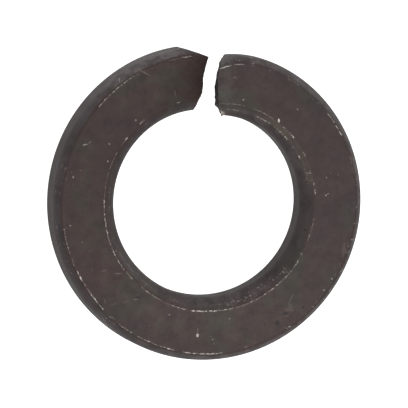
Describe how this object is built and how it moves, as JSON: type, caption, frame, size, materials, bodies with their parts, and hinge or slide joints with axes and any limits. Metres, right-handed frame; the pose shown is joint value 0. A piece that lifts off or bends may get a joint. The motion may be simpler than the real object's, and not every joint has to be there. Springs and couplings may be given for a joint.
{
  "type": "spring lock washer",
  "caption": "Split helical spring lock washer in dark oxidised steel, with softened wire edges and sheared, slanted ends that stand apart in height.",
  "frame": {"origin": "on the bore axis, level with the underside of the low end", "axes": "+Z along the bore axis, out of the face over which the ends reach; +Y from the bore axis through the gap; +X to the right of the gap seen from +Z, on the high end's side"},
  "size_m": [0.0172, 0.0172, 0.0052],
  "materials": {
    "dark_oxide_steel": "thin brown-black oxide over cold-rolled spring steel, satin, with bright rubbed lines on the edges of the faces and a few small nicks"
  },
  "bodies": {
    "root": {"lock_washer": "dark_oxide_steel"}
  },
  "joints": []
}
